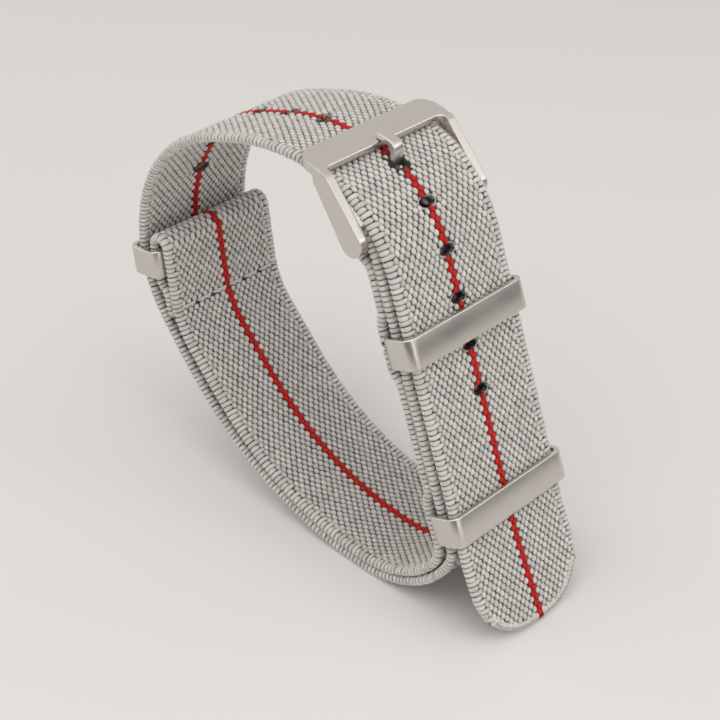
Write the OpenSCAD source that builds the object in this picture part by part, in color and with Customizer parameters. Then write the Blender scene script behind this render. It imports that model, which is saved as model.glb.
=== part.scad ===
// Stretch watch band: woven elastic webbing on a pull-through buckle, fastened into a loop.
// Width runs along Y. The loop's outline lies in the XZ plane and stands on Z = 0.

/* [Webbing] */
// Width of the webbing
strap_w = 20; // [16:1:24]
// Thickness of the webbing
web_t = 1.35; // [1.1:0.05:1.6]
// Width of the thinner selvedge on each side
selvedge_w = 0.4; // [0.2:0.05:0.6]
// Thickness of the selvedge
selvedge_t = 0.85; // [0.6:0.05:1]
// Width of the coloured warp line
stripe_w = 1.0; // [0.6:0.1:2]
// Depth to which the coloured warp shows on each face
stripe_depth = 0.25; // [0.15:0.05:0.35]
// Width of a strap hole across the strap
hole_w = 2.6; // [2.2:0.1:3]
// Length of a strap hole along the strap
hole_l = 1.4; // [1:0.1:2]
// Distance from one strap hole to the next
hole_pitch = 6.4; // [5.6:0.2:8]
// Holes between the buckle tongue and the tip
holes_ahead = 5; // [1:1:5]
// Holes between the buckle tongue and the far side of the loop
holes_behind = 7; // [2:1:8]
// Extra length of the hole that the tongue has stretched
stretched_hole = 1.6; // [1.5:0.1:2]
// Radius of the corners of the strap's free end
tip_r = 8.5; // [3:0.5:10]

/* [Loop] */
// Lean of the buckle side from upright, in degrees
lean = 20; // [14:1:26]
// Straight run from the spring bar down to the bottom corner
side_len = 42; // [42:0.5:50]
// Radius of the tight corner below the lower keeper
corner_r = 4.6; // [4:0.2:7]
// Turn of that corner, in degrees
corner_turn = 47.5; // [42:0.5:54]
// Radius of the bottom bend
bottom_r = 17.5; // [14:0.5:22]
// Straight run between the lower side and the bend behind the end keeper
low_run = 6.3; // [2:0.1:9]
// Turn of the long lower side, in degrees
belly_turn = 51; // [46:0.5:53]
// Radius of the bend behind the end keeper
left_r = 18.7; // [14:0.1:22]
// Straight run between the upper far side and the crown
high_run = 5.2; // [2:0.1:8]
// Slope of the strap where the upper far side ends, in degrees
crown_slope = 18; // [12:1:22]
// Radius of the strap on the way to the buckle
crown_r = 33.7; // [26:0.1:38]
// Slope of the strap under the buckle's bar, in degrees
bar_slope = 10.5; // [6:0.5:14]
// Radius of the strap between the bar and the spring bar
throat_r = 15.3; // [14:0.1:18]
// Slope of the strap where it passes over the spring bar, in degrees
pin_slope = 50; // [44:1:56]

/* [Sewn side] */
// Outward step of the strap below the spring bar
stack_shift = 0.35; // [0.2:0.05:0.5]
// Bend radius of that step
shift_r = 5; // [3:0.5:8]
// Bend radius where a ply steps round a keeper's back bar
jog_r = 3; // [2.2:0.1:3]
// Turn of the short strap's tight corner at the bottom, in degrees
short_turn = 55; // [50:1:60]
// How much less than the main strap's lower side the short strap's turns, in degrees
short_lag = 5.5; // [4:0.5:7]
// Straight run of the short strap above its lower side
short_run = 8.6; // [6:0.2:11]

/* [Tail] */
// Space between the tail and the strap under it
tail_gap = 0.7; // [0.4:0.1:1.2]
// Length of the tail from the lower keeper to where it flares
flare_from = 1.5; // [1:0.5:4]
// Outward turn of the tail's end, in degrees
flare_turn = 5; // [1:0.5:8]
// Radius of that turn
flare_r = 45; // [30:5:80]

/* [Spring bar and buckle] */
// Outer diameter of the spring bar's tube
tube_d = 1.3; // [1.1:0.05:1.6]
// Wall of the tube
tube_wall = 0.17; // [0.12:0.01:0.22]
// Diameter of the tip's nose
nose_d = 0.6; // [0.5:0.05:0.65]
// Travel of each sprung tip
tip_travel = 0.9; // [0.6:0.1:1]
// Length of a tip's plunger inside the tube
plunger_len = 3; // [2:0.5:5]
// Wire of the spring bar's coil
coil_wire = 0.18; // [0.12:0.01:0.22]
// Turns of the coil
coil_turns = 14; // [6:1:20]
// Length of the crimped lip at each end of the tube
tube_lip = 0.3; // [0.2:0.05:0.5]
// Width of the buckle's front bar along the strap
bar_w = 4.5; // [3:0.1:5]
// Distance from the start of the strap's bend at the buckle back to the middle of the bar
bar_back = 1.25; // [0:0.05:1.4]
// Thickness of the front bar
bar_t = 1.2; // [0.9:0.1:1.6]
// Rounding of the front bar's long edges
bar_edge = 0.45; // [0.2:0.05:0.5]
// Rounding of the frame's two outer corners
frame_corner = 2.9; // [1.5:0.1:3]
// Thickness of a cheek
cheek_t = 1.3; // [1.2:0.1:2]
// Depth of a cheek's rounded top below the face of the bar
cheek_drop = 0.06; // [0.05:0.01:0.3]
// Half width of a cheek at the bar
cheek_top_r = 1.35; // [1.2:0.05:1.8]
// Half width of a cheek's rounded end
lobe_r = 1.85; // [1.7:0.05:2.3]
// Height of the rounded end's centre above the spring bar
lobe_rise = 0.7; // [0:0.05:0.7]
// Distance from the bar's inner edge to the middle of a cheek's top
cheek_set = 0.55; // [0.3:0.05:1]
// Width of the tongue
tongue_w = 1.7; // [1.2:0.1:1.7]
// Thickness of the tongue
tongue_t = 0.8; // [0.6:0.05:0.9]
// Distance from the middle of the bar to the tongue's hole
tongue_at = 4.4; // [4.2:0.1:4.8]
// Length of the tongue that lies on the bar
tongue_reach = 1; // [1:0.1:2.5]
// Angle of the tongue's hidden run, in degrees
tongue_run = 154; // [150:1:158]
// Outer radius of the bend at the tongue's top
tongue_bend = 1.5; // [1.2:0.1:1.8]

/* [Keepers] */
// Height of a keeper along the strap
keeper_h = 4.2; // [3:0.1:5]
// Wall of a keeper
keeper_wall = 0.75; // [0.5:0.05:1]
// Rounding of a keeper's outer corners
keeper_corner = 1.6; // [1.2:0.1:2]
// Distance from the spring bar to the upper keeper
upper_at = 14.2; // [13.5:0.1:17]
// Distance from the lower keeper down to the bottom corner
lower_rise = 2.8; // [2.8:0.2:8]
// Play of a keeper in its sewn pocket, each way
keeper_play = 0.4; // [0.2:0.05:0.5]
// Tilt of the end keeper from upright, in degrees
end_tilt = 8; // [4:1:14]
// Space between the strap and the turned-back end in the end keeper
end_gap = 1.3; // [0.9:0.1:1.6]
// Bend radius where the turned-back end meets its strap
turned_jog_r = 2.2; // [1.8:0.1:3]
// Straight stretch of the turned-back end that the seam holds
turned_end = 3; // [2.4:0.2:5]

/* [Seams] */
// Thickness of the sewing thread
thread = 0.4; // [0.3:0.05:0.5]
// Distance from a selvedge to the first needle hole
selvedge_margin = 1; // [0.8:0.1:2]
// Distance from a keeper's pocket to the seam beside it
seam_from_pocket = 0.8; // [0.4:0.1:1]
// Stitches in a row
stitch_count = 6; // [4:1:6]

/* [Clearances] */
// Space between metal and the webbing that it carries
web_clear = 0.12; // [0.08:0.02:0.16]
// Space between a keeper's outer wall and the webbing under it
keeper_clear = 0.25; // [0.15:0.05:0.4]
// Space between a keeper's or the frame's side and the selvedge
side_clear = 0.35; // [0.2:0.05:0.5]
// Radial clearance of the spring bar's turning and sliding fits
pin_clear = 0.05; // [0.03:0.01:0.08]
// Space between two plies sewn together
ply_gap = 0.1; // [0.05:0.01:0.15]
// Space between the tongue and the frame's bar
tongue_clear = 0.1; // [0.06:0.01:0.2]
// Space between the spring bar's tube and a cheek
tube_end_gap = 0.2; // [0.1:0.05:0.3]
// Space round the stripe in its groove
stripe_seat = 0.03; // [0.02:0.01:0.05]
// Space beside the tongue in the strap's fold
slot_clear = 0.3; // [0.2:0.05:0.4]
// Space round a stitch in its needle hole
needle_clear = 0.05; // [0.03:0.01:0.08]

/* [Hidden] */
$fn = 96;

web_colour = [0.78, 0.77, 0.75];
stripe_colour = [0.78, 0.12, 0.1];
steel_colour = [0.66, 0.64, 0.61];
thread_colour = [0.7, 0.69, 0.67];
past = 0.5;       // how far a cut reaches past the solid that it cuts
ply_end_gap = 0.3;  // space between the two ends that meet behind the upper keeper
corner_ease = 0.02; // how far the frame's corner rounding is set out, so that it meets the sides at an angle

// A stretch of strap is ["line", length] or ["arc", radius, turn], with turns to the left positive.
// A pose is [x, z, heading], with the heading in degrees from +X towards +Z.
function toward(a) = [cos(a), sin(a)];
function leftward(a) = [-sin(a), cos(a)];
function span(seg) = seg[0] == "line" ? seg[1] : seg[1] * abs(seg[2]) * PI / 180;
function advance(p, seg) =
    seg[0] == "line"
    ? [p[0] + seg[1] * cos(p[2]), p[1] + seg[1] * sin(p[2]), p[2]]
    : let (s = sign(seg[2]), r = seg[1], g = p[2] + seg[2])
      [p[0] + s * r * (sin(g) - sin(p[2])), p[1] - s * r * (cos(g) - cos(p[2])), g];
function travel(p, path, i = 0) = i >= len(path) ? p : travel(advance(p, path[i]), path, i + 1);
function ahead_of(path, n) = [for (i = [0:1:n - 1]) path[i]];
function first_part(seg, s) = seg[0] == "line" ? ["line", s] : ["arc", seg[1], seg[2] * s / span(seg)];
function length_of(path, i = 0) = i >= len(path) ? 0 : span(path[i]) + length_of(path, i + 1);
function pose_at(p, path, s, i = 0) =
    s <= span(path[i]) || i == len(path) - 1
    ? advance(p, first_part(path[i], s))
    : pose_at(advance(p, path[i]), path, s - span(path[i]), i + 1);
function point(p) = [p[0], p[1]];
function offset_by(p, x, z) = point(p) + x * toward(p[2]) + z * leftward(p[2]);

// Sideways step of a strap by d, as two arcs of radius r. Positive steps go to the left.
function jog_turn(d, r) = acos(1 - abs(d) / (2 * r));
function jog(d, r) = let (a = sign(d) * jog_turn(d, r)) [["arc", r, a], ["arc", r, -a]];
function jog_len(d, r) = 2 * r * sin(jog_turn(d, r));

// Lengths of two straights, at headings a and b, that together cover the gap.
function two_lengths(gap, a, b) = let (m = sin(b - a))
    [(gap[0] * sin(b) - gap[1] * cos(b)) / m, (gap[1] * cos(a) - gap[0] * sin(a)) / m];

// Radii of two right-hand bends, from heading a to b and from c to d, that together cover the gap.
function bend_step(a, b) = [sin(a) - sin(b), cos(b) - cos(a)];
function two_radii(gap, a, b, c, d) =
    let (p = bend_step(a, b), q = bend_step(c, d), m = p[0] * q[1] - p[1] * q[0])
    [(gap[0] * q[1] - gap[1] * q[0]) / m, (p[0] * gap[1] - p[1] * gap[0]) / m];
function run(length, a) = length * toward(a);

// Plies of the buckle side, as distances outward from the line that runs down from the spring bar.
down = lean - 90;
up = down + 180;
tube_r = tube_d / 2;
fold_r = tube_r + pin_clear + web_t / 2;
outer_ply = fold_r + stack_shift;
lower_at = side_len - lower_rise;
inner_ply = outer_ply - web_t - ply_gap;
pocket_step = keeper_wall + 2 * web_clear - ply_gap;
pocket_ply = inner_ply - pocket_step;
tail_ply = outer_ply + web_t + tail_gap;
pocket_half = keeper_h / 2 + keeper_play;
function beside(s, n) = s * toward(down) + n * leftward(down);

// Main strap: from its sewn end behind the upper keeper, over the spring bar, down the buckle side,
// round the loop, over its own fold and down again as the tail. The spring bar's axis is at [0, 0].
sewn_rest = upper_at - pocket_half - jog_len(pocket_step, jog_r) - jog_len(inner_ply + fold_r, jog_r);
main_start = concat(beside(upper_at - ply_end_gap / 2, pocket_ply), [up]);
to_corner = concat(
    [["line", pocket_half - ply_end_gap / 2]], jog(-pocket_step, jog_r), [["line", sewn_rest]],
    jog(inner_ply + fold_r, jog_r), [["arc", fold_r, -180]],
    jog(stack_shift, shift_r), [["line", side_len - jog_len(stack_shift, shift_r)]]
);
to_loop = concat(to_corner, [["arc", corner_r, -corner_turn], ["arc", bottom_r, corner_turn - 90 - lean]]);
bottom_pose = travel(main_start, to_loop);
climb = 180 - belly_turn;
upright = 90 + end_tilt;
over_pin = (web_t / 2 + web_clear + fold_r + web_t / 2) * leftward(-pin_slope);
function bend(r, a, b) = let (p = bend_step(a, b)) r * p;
loop_gap = over_pin - point(bottom_pose)
    - run(low_run, climb) - bend(left_r, climb, 90) - run(high_run, crown_slope)
    - bend(crown_r, crown_slope, -bar_slope) - bend(throat_r, -bar_slope, -pin_slope);
loop_radii = two_radii(loop_gap, 180, climb, 90, crown_slope);
loop_path = [
    ["arc", loop_radii[0], -belly_turn], ["line", low_run],
    ["arc", left_r, upright - climb], ["arc", left_r, -end_tilt],
    ["arc", loop_radii[1], crown_slope - 90], ["line", high_run],
    ["arc", crown_r, -crown_slope - bar_slope], ["arc", throat_r, bar_slope - pin_slope]
];
station = travel(bottom_pose, ahead_of(loop_path, 3));
throat_pose = travel(bottom_pose, ahead_of(loop_path, 7));
bar_pose = advance(throat_pose, ["line", -bar_back]);
last_turn = 90 - lean - pin_slope;
last_r = (tail_ply - over_pin * leftward(down)) / (1 - cos(last_turn));
tail_straight = lower_at + keeper_h / 2 + flare_from - over_pin * toward(down) - last_r * sin(last_turn);
to_flare = [["arc", last_r, -last_turn], ["line", tail_straight], ["arc", flare_r, flare_turn]];
flare_pose = travel(concat(over_pin, [-pin_slope]), to_flare);
floor_z = bottom_pose[1] - web_t / 2;
tip_len = (flare_pose[1] - web_t / 2 * cos(flare_pose[2]) - floor_z) / -sin(flare_pose[2]);
tip_pose = advance(flare_pose, ["line", tip_len]);
main_path = concat(to_loop, loop_path, to_flare, [["line", tip_len]]);

// Short strap: from its sewn end behind the upper keeper, inside the main strap, round the bottom and
// up to the end keeper, where it folds over the keeper's inner bar.
fold_space = keeper_wall + 2 * side_clear;
end_fold_r = (fold_space + web_t) / 2;
end_bar = web_t + end_gap + end_fold_r;
turned_step = 2 * end_fold_r - web_t - ply_gap;
turned_straight = pocket_half + jog_len(turned_step, turned_jog_r);
short_start = concat(beside(upper_at + ply_end_gap / 2, pocket_ply), [down]);
short_side = concat(
    [["line", pocket_half - ply_end_gap / 2]], jog(pocket_step, jog_r),
    [["line", lower_at - upper_at - 2 * pocket_half - 2 * jog_len(pocket_step, jog_r)]],
    jog(-pocket_step, jog_r), [["line", side_len - lower_at + pocket_half]]
);
short_bottom = [bottom_pose[0], bottom_pose[1] + web_t + ply_gap, -180];
bottom_gap = point(short_bottom) - point(travel(short_start, short_side));
short_radii = two_radii(bottom_gap, down, down - short_turn, down - short_turn, -180);
short_climb = climb + short_lag;
short_top = offset_by(station, 0, -end_bar - end_fold_r);
climb_gap = short_top - point(short_bottom)
    - run(short_run, short_climb) - run(turned_straight, upright);
climb_radii = two_radii(climb_gap, 180, short_climb, short_climb, upright);
turned_r = climb_radii[1] + web_t + ply_gap;
short_path = concat(
    short_side,
    [["arc", short_radii[0], -short_turn], ["arc", short_radii[1], short_turn - 90 - lean]],
    [["arc", climb_radii[0], short_climb - 180], ["line", short_run]],
    [["arc", climb_radii[1], upright - short_climb]],
    [["line", turned_straight + pocket_half], ["arc", end_fold_r, 180], ["line", 2 * pocket_half]],
    jog(turned_step, turned_jog_r), [["arc", turned_r, turned_end / turned_r * 180 / PI]]
);

// Tongue: from its eye on the spring bar, under the strap, up through the hole and over onto the bar.
eye_r = tube_r + pin_clear + tongue_t / 2;
bar_top = web_t / 2 + web_clear + bar_t;
curl_r = tongue_bend - tongue_t / 2;
tongue_start = concat(-eye_r * leftward(tongue_run), [tongue_run]);
function tongue_line(low, high) = [
    ["line", low], ["arc", curl_r, 90 - bar_slope - tongue_run], ["line", high], ["arc", curl_r, 90],
    ["line", tongue_at - curl_r - bar_w / 2 + tongue_reach]
];
tongue_rest = two_lengths(
    offset_by(bar_pose, bar_w / 2 - tongue_reach, bar_top + tongue_clear + tongue_t / 2)
        - point(travel(tongue_start, tongue_line(0, 0))),
    tongue_run, 90 - bar_slope
);
hole_zero = length_of(concat(to_loop, ahead_of(loop_path, 7)))
    + throat_r * asin((tongue_at - bar_back) / throat_r) * PI / 180;

// The band stands on its bottom bend and its tip, centred on Z between the end keeper and the tip.
keeper_out = web_t / 2 + keeper_clear + keeper_wall;
left_most = offset_by(station, keeper_h / 2, keeper_out)[0];
right_most = offset_by(tip_pose, 0, web_t / 2)[0];
inner_half = strap_w / 2 + side_clear;
frame_half = inner_half + cheek_t;

module stood() {
    translate([-(left_most + right_most) / 2, 0, -floor_z]) children();
}

module placed(p) {
    translate([p[0], 0, p[1]]) rotate([0, -p[2], 0]) children();
}

// Poses along a path, close enough together for smooth bends.
function steps_in(seg) = seg[0] == "line" ? 1 : ceil(abs(seg[2]) / (seg[1] < 6 ? 10 : 4));
function share_of(seg, k) = seg[0] == "line" ? ["line", seg[1] * k] : ["arc", seg[1], seg[2] * k];
function trace(start, path) = [
    for (i = [0:len(path) - 1])
        let (p = travel(start, ahead_of(path, i)), n = steps_in(path[i]))
        for (k = [0:1:i == len(path) - 1 ? n : n - 1]) advance(p, share_of(path[i], k / n))
];
function backwards(v) = [for (i = [len(v) - 1:-1:0]) v[i]];

// Layer of a strap between two heights over its middle plane, from one place across its width to another.
module layer(poses, low, high, y0, y1) {
    slab([
        for (p = poses) offset_by(p, 0, high),
        for (p = backwards(poses)) offset_by(p, 0, low)
    ], y0, y1);
}

// Slab across the width with the given outline in the XZ plane.
module slab(outline, y0, y1) {
    translate([0, y1, 0]) rotate([90, 0, 0]) linear_extrude(y1 - y0) polygon(outline);
}

// Webbing: a full body, a thinner selvedge on each side and a shallow groove for the stripe on each face.
module webbing(poses) {
    half = strap_w / 2;
    deep = web_t / 2 - stripe_depth;
    layer(poses, -deep, deep, -stripe_w / 2, stripe_w / 2);
    for (side = [0, 1]) mirror([0, side, 0]) {
        layer(poses, -web_t / 2, web_t / 2, stripe_w / 2, half - selvedge_w);
        layer(poses, -selvedge_t / 2, selvedge_t / 2, half - selvedge_w, half);
    }
}

module stripes(poses) {
    half = stripe_w / 2 - stripe_seat;
    deep = web_t / 2 - stripe_depth + stripe_seat;
    layer(poses, deep, web_t / 2, -half, half);
    layer(poses, -web_t / 2, -deep, -half, half);
}

// Holes down the middle of the main strap, opened sideways between the warp yarns. The one that the
// tongue holds open is longer, mostly towards the spring bar.
module strap_holes(room) {
    for (k = [-holes_behind:holes_ahead]) {
        extra = k == 0 ? stretched_hole : 0;
        a = (hole_l + extra) / 2 + room;
        b = hole_w / 2 + room;
        placed(pose_at(main_start, main_path, hole_zero + k * hole_pitch))
            translate([extra * 0.2, 0, 0])
                linear_extrude(web_t + 2 * past, center = true)
                    polygon([for (t = [0:12:348]) [a * cos(t), b * sin(t)]]);
    }
}

// Slot in the fold over the spring bar, where the tongue's eye sits.
module fold_slot() {
    reach = eye_r + tongue_t / 2 + slot_clear;
    placed([0, 0, down])
        translate([-fold_r - web_t, -tongue_w / 2 - slot_clear, -fold_r - web_t])
            cube([fold_r + web_t + reach, tongue_w + 2 * slot_clear, 2 * (fold_r + web_t)]);
}

// What the two rounded corners take off the free end.
module tip_corners() {
    for (side = [0, 1]) mirror([0, side, 0]) placed(tip_pose) difference() {
        translate([-tip_r, strap_w / 2 - tip_r, -web_t]) cube([tip_r + past, tip_r + past, 2 * web_t]);
        translate([-tip_r, strap_w / 2 - tip_r, -web_t - past]) cylinder(r = tip_r, h = 2 * web_t + 2 * past);
    }
}

// A row of lock stitches through two plies. It is [pose of the outer ply, distance to the inner ply].
stitch_pitch = (strap_w - 2 * selvedge_margin) / stitch_count;
sewn_step = web_t + ply_gap;
function seam_depth(row) = row[1] + web_t + 2 * needle_clear;

module at_needle_holes(row) {
    placed(row[0]) for (k = [0:stitch_count])
        translate([0, (k - stitch_count / 2) * stitch_pitch, -row[1] / 2]) children();
}

module needle_holes(row) {
    hole = thread + 2 * needle_clear;
    at_needle_holes(row) cube([hole, hole, seam_depth(row) + 2 * past], center = true);
}

module seam(row) {
    color(thread_colour) stood() {
        at_needle_holes(row) cube([thread, thread, seam_depth(row) + thread], center = true);
        for (face = [-1, 1])
            placed(row[0]) translate([0, 0, -row[1] / 2 + face * (seam_depth(row) + thread) / 2])
                cube([thread, strap_w - 2 * selvedge_margin + thread, thread], center = true);
    }
}

function side_seam(s, apart) = [concat(beside(s, outer_ply), [down]), apart];
above_upper = side_seam(upper_at - pocket_half - jog_len(pocket_step, jog_r) - seam_from_pocket, sewn_step);
below_upper = side_seam(upper_at + pocket_half + jog_len(pocket_step, jog_r) + seam_from_pocket, sewn_step);
above_lower = side_seam(lower_at - pocket_half - jog_len(pocket_step, jog_r) - seam_from_pocket, sewn_step);
below_lower = side_seam(lower_at + pocket_half + thread / 2 + 2 * needle_clear, outer_ply - pocket_ply);
turned_mid = pose_at(short_start, short_path, length_of(short_path) - turned_end / 2);
end_seam = [[turned_mid[0], turned_mid[1], turned_mid[2] + 180], sewn_step];

// Closed band round the plies at a pose, from n = low to n = high, with rounded outer corners.
module ring_profile(low, high) {
    difference() {
        translate([-inner_half - keeper_wall, low - keeper_wall])
            rounded_box([2 * (inner_half + keeper_wall), high - low + 2 * keeper_wall], keeper_corner);
        translate([-inner_half, low])
            rounded_box([2 * inner_half, high - low], keeper_corner - keeper_wall);
    }
}

module rounded_box(size, r) {
    translate([r, 0]) square([size[0] - 2 * r, size[1]]);
    translate([0, r]) square([size[0], size[1] - 2 * r]);
    for (x = [r, size[0] - r], y = [r, size[1] - r]) translate([x, y]) circle(r = r);
}

module keeper(p, low, high) {
    color(steel_colour) stood() placed(p)
        translate([-keeper_h / 2, 0, 0]) rotate([90, 0, 90]) linear_extrude(keeper_h) ring_profile(low, high);
}

main_poses = trace(main_start, main_path);
short_poses = trace(short_start, short_path);
main_seams = [above_upper, below_upper, above_lower, below_lower];
short_seams = [below_upper, above_lower, below_lower, end_seam];

module main_strap() {
    color(web_colour) stood() difference() {
        webbing(main_poses);
        strap_holes(0);
        fold_slot();
        tip_corners();
        for (row = main_seams) needle_holes(row);
    }
}

module main_strap_stripe() {
    color(stripe_colour) stood() difference() {
        stripes(main_poses);
        strap_holes(stripe_seat);
        fold_slot();
        for (row = main_seams) needle_holes(row);
    }
}

module short_strap() {
    color(web_colour) stood() difference() {
        webbing(short_poses);
        for (row = short_seams) needle_holes(row);
    }
}

module short_strap_stripe() {
    color(stripe_colour) stood() difference() {
        stripes(short_poses);
        for (row = short_seams) needle_holes(row);
    }
}

// Outline of a cheek: two round ends and the straight sides that touch both.
function arc_points(c, r, a, b, n) = [for (k = [0:n]) c + r * toward(a + (b - a) * k / n)];
function link_outline(a, ra, b, rb) =
    let (along = atan2(b[1] - a[1], b[0] - a[0]), side = acos((ra - rb) / norm(b - a)))
    concat(
        arc_points(a, ra, along + side, along + 360 - side, 24),
        arc_points(b, rb, along - side, along + side, 24)
    );

// Outline of the bar: a flat plate with rounded long edges.
function bar_outline() =
    let (x = bar_w / 2 - bar_edge, low = bar_top - bar_t + bar_edge, high = bar_top - bar_edge)
    [
        for (q = concat(
            arc_points([x, low], bar_edge, -90, 0, 6), arc_points([x, high], bar_edge, 0, 90, 6),
            arc_points([-x, high], bar_edge, 90, 180, 6), arc_points([-x, low], bar_edge, 180, 270, 6)
        )) offset_by(bar_pose, q[0], q[1])
    ];

module bar_plate() {
    difference() {
        slab(bar_outline(), -frame_half, frame_half);
        for (side = [0, 1]) mirror([0, side, 0]) placed(bar_pose)
            translate([frame_corner - corner_ease - bar_w / 2, frame_half - frame_corner + corner_ease, 0])
                difference() {
                    translate([-frame_corner - past, 0, 0])
                        cube([frame_corner + past, frame_corner + past, 2 * bar_top]);
                    translate([0, 0, -past]) cylinder(r = frame_corner, h = 2 * bar_top + 2 * past);
                }
    }
}

module buckle_frame() {
    cheek_top = offset_by(bar_pose, bar_w / 2 + cheek_set, bar_top - cheek_drop - cheek_top_r);
    cheek = link_outline(cheek_top, cheek_top_r, [0, lobe_rise], lobe_r);
    color(steel_colour) stood() difference() {
        union() {
            bar_plate();
            slab(cheek, -frame_half, -inner_half);
            slab(cheek, inner_half, frame_half);
        }
        rotate([90, 0, 0])
            cylinder(d = nose_d + 2 * pin_clear, h = 2 * (inner_half + tip_travel), center = true);
    }
}

module buckle_tongue() {
    color(steel_colour) stood() difference() {
        union() {
            layer(
                trace(tongue_start, tongue_line(tongue_rest[0], tongue_rest[1])),
                -tongue_t / 2, tongue_t / 2, -tongue_w / 2, tongue_w / 2
            );
            rotate([90, 0, 0]) cylinder(r = eye_r + tongue_t / 2, h = tongue_w, center = true);
        }
        rotate([90, 0, 0]) cylinder(r = tube_r + pin_clear, h = tongue_w + 2 * past, center = true);
    }
}

// Spring bar: a crimped tube with a plunger at each end and a coil between them.
tube_half = inner_half - tube_end_gap;
bore_r = tube_r - tube_wall;
nose_r = nose_d / 2;
shoulder_y = tube_half - tube_lip - pin_clear;
coil_half = shoulder_y - plunger_len - pin_clear;

module spring_bar_tube() {
    color(steel_colour) stood() rotate([90, 0, 0]) difference() {
        cylinder(r = tube_r, h = 2 * tube_half, center = true);
        cylinder(r = bore_r, h = 2 * (tube_half - tube_lip), center = true);
        cylinder(r = nose_r + pin_clear, h = 2 * (tube_half + past), center = true);
    }
}

module spring_bar_tip(side) {
    color(steel_colour) stood() rotate([-90 * side, 0, 0]) {
        translate([0, 0, shoulder_y - plunger_len]) cylinder(r = bore_r - pin_clear, h = plunger_len);
        translate([0, 0, shoulder_y - plunger_len / 2])
            cylinder(r = nose_r, h = inner_half + tip_travel - nose_r / 2 - shoulder_y + plunger_len / 2);
    }
}

module spring_bar_tip_near() {
    spring_bar_tip(-1);
}

module spring_bar_tip_far() {
    spring_bar_tip(1);
}

// Helix swept as one skin: rings of points stood across the wire, joined side by side.
coil_steps = 10;
coil_sides = 6;

module spring_bar_coil() {
    mean_r = bore_r - pin_clear - coil_wire / 2;
    rings = coil_turns * coil_steps;
    rise = 2 * (coil_half - coil_wire / 2) / rings;
    points = [
        for (i = [0:rings], j = [0:coil_sides - 1])
            let (a = 360 * i / coil_steps, b = 360 * j / coil_sides, r = mean_r + coil_wire / 2 * cos(b))
            [r * cos(a), r * sin(a), (i - rings / 2) * rise + coil_wire / 2 * sin(b)]
    ];
    sides = [
        for (i = [0:rings - 1], j = [0:coil_sides - 1], half = [0, 1])
            let (k = (j + 1) % coil_sides, a = i * coil_sides, b = a + coil_sides)
            half == 0 ? [a + j, b + k, b + j] : [a + j, a + k, b + k]
    ];
    first = [for (j = [coil_sides - 1:-1:0]) j];
    last = [for (j = [0:coil_sides - 1]) rings * coil_sides + j];
    color(steel_colour) stood() rotate([90, 0, 0])
        polyhedron(points, concat(sides, [first, last]), convexity = 9);
}

module side_keeper(s) {
    low = outer_ply - web_t / 2 - web_clear;
    high = tail_ply + web_t / 2 + keeper_clear;
    keeper(concat(beside(s, 0), [down]), low, high);
}

module keeper_upper() {
    side_keeper(upper_at);
}

module keeper_lower() {
    side_keeper(lower_at);
}

module keeper_end() {
    keeper(station, keeper_wall / 2 - end_bar, web_t / 2 + keeper_clear);
}

module seam_above_upper_keeper() {
    seam(above_upper);
}

module seam_below_upper_keeper() {
    seam(below_upper);
}

module seam_above_lower_keeper() {
    seam(above_lower);
}

module seam_below_lower_keeper() {
    seam(below_lower);
}

module seam_end_keeper() {
    seam(end_seam);
}

main_strap();
main_strap_stripe();
short_strap();
short_strap_stripe();
buckle_frame();
buckle_tongue();
spring_bar_tube();
spring_bar_coil();
spring_bar_tip_near();
spring_bar_tip_far();
keeper_upper();
keeper_lower();
keeper_end();
seam_above_upper_keeper();
seam_below_upper_keeper();
seam_above_lower_keeper();
seam_below_lower_keeper();
seam_end_keeper();
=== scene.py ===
import math

import bmesh
import bpy
import numpy as np
from mathutils import Matrix, Vector
from mathutils.bvhtree import BVHTree


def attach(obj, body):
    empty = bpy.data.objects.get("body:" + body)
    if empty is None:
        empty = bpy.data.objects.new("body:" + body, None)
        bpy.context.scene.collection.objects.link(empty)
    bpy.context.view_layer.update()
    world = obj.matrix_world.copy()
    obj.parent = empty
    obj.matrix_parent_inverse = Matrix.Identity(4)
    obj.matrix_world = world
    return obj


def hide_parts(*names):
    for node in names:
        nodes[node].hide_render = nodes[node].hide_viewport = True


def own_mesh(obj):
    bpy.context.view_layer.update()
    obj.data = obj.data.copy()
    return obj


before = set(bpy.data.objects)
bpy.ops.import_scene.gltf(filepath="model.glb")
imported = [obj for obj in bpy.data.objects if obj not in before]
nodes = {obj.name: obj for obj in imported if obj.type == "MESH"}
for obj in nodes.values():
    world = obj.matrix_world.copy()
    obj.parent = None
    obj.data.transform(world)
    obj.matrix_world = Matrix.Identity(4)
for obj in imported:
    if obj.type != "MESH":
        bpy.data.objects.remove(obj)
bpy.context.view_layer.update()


# Main strap, the ground under its yarns: dark elastic that shows in the gaps between the yarns and on the
# walls of the holes, its colour made near black so that it also stands for painted shade in those gaps. It
# is the CAD strap, thinned towards its middle line. Lengths are in mm until a mesh is made; the strap
# starts behind the upper keeper and ends at the tail's tip.
pin_x, pin_z = 10.6557, 52.6688
weld = 2e-6


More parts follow.
